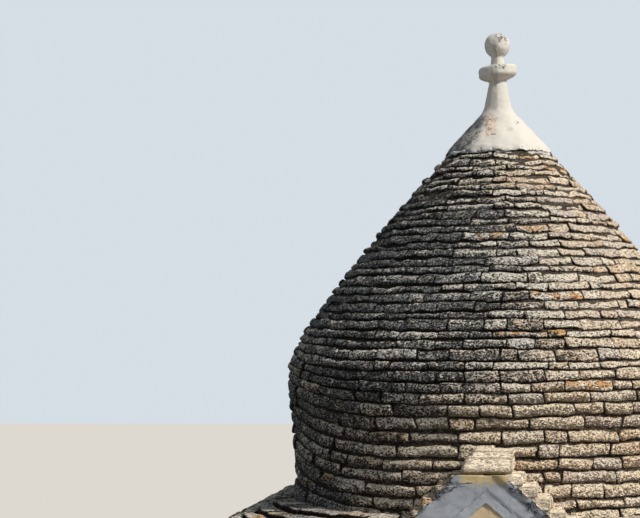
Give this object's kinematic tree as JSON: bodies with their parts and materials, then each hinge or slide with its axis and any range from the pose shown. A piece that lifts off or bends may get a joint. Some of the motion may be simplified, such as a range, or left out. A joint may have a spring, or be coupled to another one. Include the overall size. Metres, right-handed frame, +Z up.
{
  "type": "trullo house",
  "caption": "One-room dry-stone trullo: whitewashed square base, gabled doorway, corbelled vault under a conical stone roof with a plastered finial.",
  "frame": {"origin": "on the ground, at the centre of the base, under the point of the cone", "axes": "+Z up along the cone's axis; the gabled doorway faces -Y; the house is the same left and right of the YZ plane"},
  "size_m": [5.3, 5.3, 6.794],
  "materials": {
    "whitewash": "brushed limewash over rubble masonry",
    "paving": "worn limestone flags",
    "door_stone": "dressed limestone",
    "ochre_stone": "ochre weathered limestone",
    "gable_plaster": "weathered lime plaster",
    "dry_stone": "dry-laid limestone, weathered, with dark lichen",
    "pale_stone": "weathered limestone",
    "vault_stone": "corbelled limestone",
    "rubble": "rubble packing",
    "finial_plaster": "weathered lime plaster"
  },
  "bodies": {
    "root": {"wall_front_left": "whitewash", "wall_front_right": "whitewash", "wall_left": "whitewash", "wall_right": "whitewash", "wall_back": "whitewash", "floor_paving": "paving", "threshold": "door_stone", "door_jamb_left": "door_stone", "door_jamb_right": "door_stone", "lintel_outer": "door_stone", "lintel_middle": "door_stone", "lintel_inner": "door_stone", "doorway_panel": "ochre_stone", "doorway_hood": "gable_plaster", "gable_wall": "gable_plaster", "gable_roof_left": "dry_stone", "gable_roof_right": "dry_stone", "gable_crest_stone": "pale_stone", "skirt_front_left": "dry_stone", "skirt_front_right": "dry_stone", "skirt_back_left": "dry_stone", "skirt_back_right": "dry_stone", "corner_slabs": "vault_stone", "drum_courses_lower": "dry_stone", "drum_courses_upper": "dry_stone", "roof_courses_1": "dry_stone", "roof_courses_2": "dry_stone", "roof_courses_3": "dry_stone", "roof_courses_4": "dry_stone", "roof_courses_5": "dry_stone", "roof_courses_6": "dry_stone", "vault_courses_1": "vault_stone", "vault_courses_2": "vault_stone", "vault_courses_3": "vault_stone", "vault_courses_4": "vault_stone", "vault_capstone": "vault_stone", "rubble_fill_lower": "rubble", "rubble_fill_upper": "rubble", "plaster_cap": "finial_plaster", "finial_neck": "finial_plaster", "finial_disc": "finial_plaster", "finial_collar": "finial_plaster", "finial_ball": "finial_plaster"}
  },
  "joints": []
}
